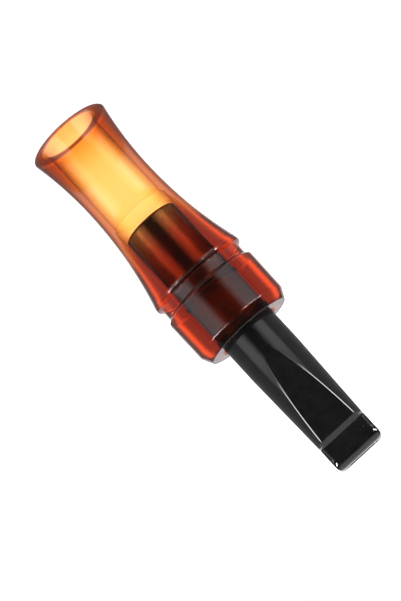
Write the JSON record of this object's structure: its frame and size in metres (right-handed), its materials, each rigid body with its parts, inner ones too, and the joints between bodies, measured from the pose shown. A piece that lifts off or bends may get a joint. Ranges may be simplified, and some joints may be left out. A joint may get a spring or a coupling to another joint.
{
  "type": "game call",
  "caption": "Closed-reed game call: see-through flared bell barrel with a lanyard groove, and a black bite mouthpiece that slides in on seal rings and holds a reed unit.",
  "frame": {"origin": "centre of the bell's rim, in the flat plane that the call stands on", "axes": "+Z along the call's axis from the bell to the tip of the mouthpiece; the mouthpiece's flats face -Y and +Y, and its air slot runs along X"},
  "size_m": [0.0302, 0.0302, 0.1213],
  "materials": {
    "amber_acrylic": "polished, see-through amber that deepens to red where it is thick",
    "black_plastic": "semi-gloss black, moulded",
    "black_rubber": "matt black",
    "ivory_plastic": "satin ivory",
    "reed_film": "smooth milky polyester film",
    "cork": "fine-grained cork"
  },
  "bodies": {
    "barrel": {"barrel": "amber_acrylic"},
    "seal_rings": {"rear_seal_ring": "black_rubber", "front_seal_ring": "black_rubber"},
    "mouthpiece": {"mouthpiece": "black_plastic"},
    "reed_unit": {"tone_board": "ivory_plastic", "reed_wedge": "cork", "tone_board_seal_ring": "black_rubber"},
    "reed": {"reed": "reed_film"}
  },
  "joints": [
    {"name": "mouthpiece_pull", "type": "slide", "parent": "barrel", "child": "seal_rings", "axis": [0, 0, 1], "range_m": [-0.004, 0.045]},
    {"name": "mouthpiece_twist", "type": "hinge", "parent": "seal_rings", "child": "mouthpiece", "pos_m": [0, 0, 0.0668], "axis": [0, 0, 1], "continuous": true},
    {"name": "reed_unit_pull", "type": "slide", "parent": "mouthpiece", "child": "reed_unit", "axis": [0, 0, -1], "range_m": [0, 0.04]},
    {"name": "reed_flex", "type": "hinge", "parent": "reed_unit", "child": "reed", "pos_m": [0, -0.00045, 0.05], "axis": [-1, 0, 0], "range_deg": [-1, 1.6], "stiffness_Nm_per_rad": 0.01}
  ]
}
